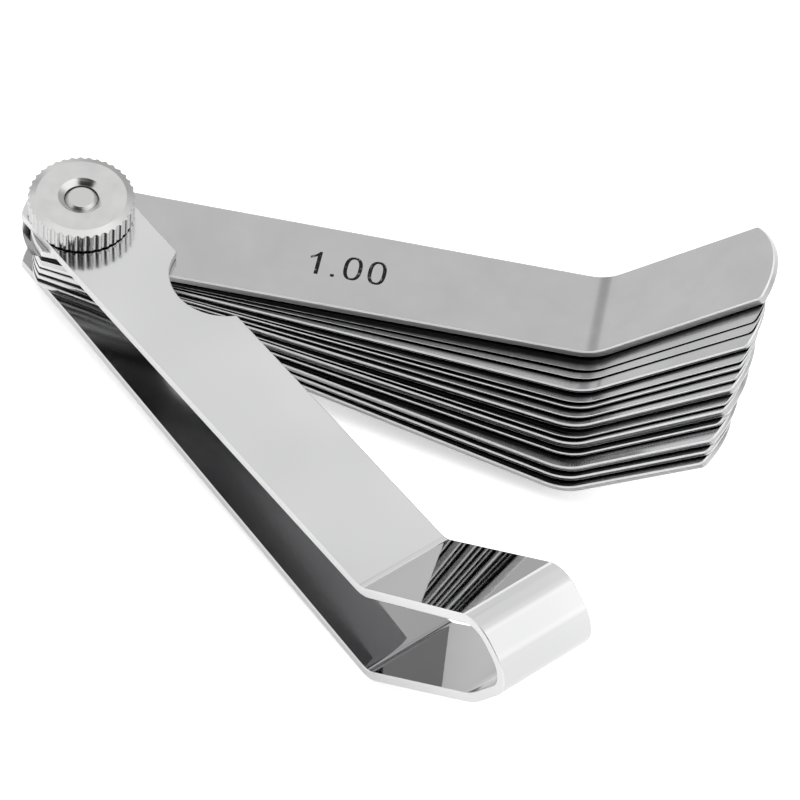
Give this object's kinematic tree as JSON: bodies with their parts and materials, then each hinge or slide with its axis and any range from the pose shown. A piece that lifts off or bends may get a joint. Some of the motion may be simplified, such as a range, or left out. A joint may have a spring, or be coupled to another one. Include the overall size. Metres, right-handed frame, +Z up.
{
  "type": "feeler gauge",
  "caption": "Offset feeler gauge: thin steel blades with bent tips, fanned on one screw with a knurled nut, in a holder folded from one strip of polished sheet.",
  "frame": {"origin": "on the axis of the screw, at the underside of its head, which the gauge rests on", "axes": "+Z up along the screw's axis, towards the nut; +X along the holder, towards its nose; the blades are fanned towards +Y"},
  "size_m": [0.0947, 0.0654, 0.0297],
  "materials": {
    "blade_steel": "satin spring steel, lightly scuffed",
    "polished_holder": "mirror polished sheet",
    "nickel": "bright nickel plate, satin on the flat top",
    "screw_steel": "turned bright steel"
  },
  "bodies": {
    "holder": {"holder": "polished_holder", "pivot_screw": "screw_steel"},
    "thumb_nut": {"knurled_nut": "nickel"},
    "leaf_1_00": {"blade_1_00": "blade_steel"},
    "leaf_0_05": {"blade_0_05": "blade_steel"},
    "leaf_0_10": {"blade_0_10": "blade_steel"},
    "leaf_0_50": {"blade_0_50": "blade_steel"},
    "leaf_0_15": {"blade_0_15": "blade_steel"},
    "leaf_0_30": {"blade_0_30": "blade_steel"},
    "leaf_0_25": {"blade_0_25": "blade_steel"},
    "leaf_0_75": {"blade_0_75": "blade_steel"},
    "leaf_0_20": {"blade_0_20": "blade_steel"},
    "leaf_0_90": {"blade_0_90": "blade_steel"},
    "leaf_0_40": {"blade_0_40": "blade_steel"},
    "leaf_0_70": {"blade_0_70": "blade_steel"},
    "leaf_0_60": {"blade_0_60": "blade_steel"},
    "leaf_0_80": {"blade_0_80": "blade_steel"}
  },
  "joints": [
    {"name": "nut_turn", "type": "hinge", "parent": "holder", "child": "thumb_nut", "pos_m": [0, 0, 0.014], "axis": [0, 0, 1], "continuous": true},
    {"name": "swing_1_00", "type": "hinge", "parent": "holder", "child": "leaf_1_00", "pos_m": [0, 0, 0.008], "axis": [0, 0, 1], "range_deg": [-42.1, 317.9]},
    {"name": "swing_0_05", "type": "hinge", "parent": "holder", "child": "leaf_0_05", "pos_m": [0, 0, 0.008], "axis": [0, 0, 1], "range_deg": [-40.5, 319.5]},
    {"name": "swing_0_10", "type": "hinge", "parent": "holder", "child": "leaf_0_10", "pos_m": [0, 0, 0.008], "axis": [0, 0, 1], "range_deg": [-39.5, 320.5]},
    {"name": "swing_0_50", "type": "hinge", "parent": "holder", "child": "leaf_0_50", "pos_m": [0, 0, 0.008], "axis": [0, 0, 1], "range_deg": [-38.1, 321.9]},
    {"name": "swing_0_15", "type": "hinge", "parent": "holder", "child": "leaf_0_15", "pos_m": [0, 0, 0.008], "axis": [0, 0, 1], "range_deg": [-37, 323]},
    {"name": "swing_0_30", "type": "hinge", "parent": "holder", "child": "leaf_0_30", "pos_m": [0, 0, 0.008], "axis": [0, 0, 1], "range_deg": [-36.5, 323.5]},
    {"name": "swing_0_25", "type": "hinge", "parent": "holder", "child": "leaf_0_25", "pos_m": [0, 0, 0.008], "axis": [0, 0, 1], "range_deg": [-35.6, 324.4]},
    {"name": "swing_0_75", "type": "hinge", "parent": "holder", "child": "leaf_0_75", "pos_m": [0, 0, 0.008], "axis": [0, 0, 1], "range_deg": [-34.8, 325.2]},
    {"name": "swing_0_20", "type": "hinge", "parent": "holder", "child": "leaf_0_20", "pos_m": [0, 0, 0.008], "axis": [0, 0, 1], "range_deg": [-33.9, 326.1]},
    {"name": "swing_0_90", "type": "hinge", "parent": "holder", "child": "leaf_0_90", "pos_m": [0, 0, 0.008], "axis": [0, 0, 1], "range_deg": [-33.4, 326.6]},
    {"name": "swing_0_40", "type": "hinge", "parent": "holder", "child": "leaf_0_40", "pos_m": [0, 0, 0.008], "axis": [0, 0, 1], "range_deg": [-32.8, 327.2]},
    {"name": "swing_0_70", "type": "hinge", "parent": "holder", "child": "leaf_0_70", "pos_m": [0, 0, 0.008], "axis": [0, 0, 1], "range_deg": [-31.4, 328.6]},
    {"name": "swing_0_60", "type": "hinge", "parent": "holder", "child": "leaf_0_60", "pos_m": [0, 0, 0.008], "axis": [0, 0, 1], "range_deg": [-30.8, 329.2]},
    {"name": "swing_0_80", "type": "hinge", "parent": "holder", "child": "leaf_0_80", "pos_m": [0, 0, 0.008], "axis": [0, 0, 1], "range_deg": [-30.1, 329.9]}
  ]
}
